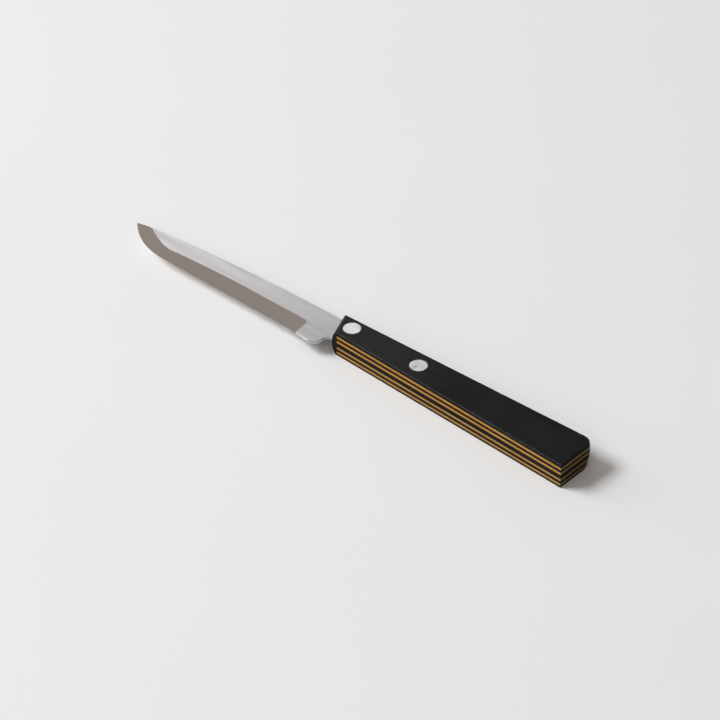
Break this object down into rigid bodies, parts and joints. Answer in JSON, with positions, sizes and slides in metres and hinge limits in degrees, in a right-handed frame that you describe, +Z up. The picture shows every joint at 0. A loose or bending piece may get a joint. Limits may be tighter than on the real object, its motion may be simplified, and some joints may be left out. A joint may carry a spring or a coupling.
{
  "type": "serrated utility knife",
  "caption": "Small kitchen knife with a straight, finely serrated steel edge, a round choil and a tapered handle of striped laminate with a domed black front and flush rivets.",
  "frame": {"origin": "middle of the knife's bounding box, on the surface that the handle's broad face lies on", "axes": "+X from the tip to the butt, +Y from the cutting edge to the spine, +Z up from the resting surface"},
  "size_m": [0.232, 0.0218, 0.011],
  "materials": {
    "blade_steel": "brushed lengthwise, with a darker satin grind along the edge",
    "cap_black": "black, satin, rounded over",
    "dark_ply": "black dyed laminate, satin",
    "light_ply": "golden yellow dyed laminate, satin",
    "rivet_metal": "sanded flush"
  },
  "bodies": {
    "root": {"blade": "blade_steel", "front_cap": "cap_black", "lower_face_ply": "dark_ply", "light_ply_1": "light_ply", "dark_ply_1": "dark_ply", "light_ply_2": "light_ply", "core_ply": "dark_ply", "light_ply_3": "light_ply", "dark_ply_2": "dark_ply", "light_ply_4": "light_ply", "upper_face_ply": "dark_ply", "front_rivet_pin": "rivet_metal", "front_rivet_tube": "rivet_metal", "rear_rivet_pin": "rivet_metal", "rear_rivet_tube": "rivet_metal"}
  },
  "joints": []
}
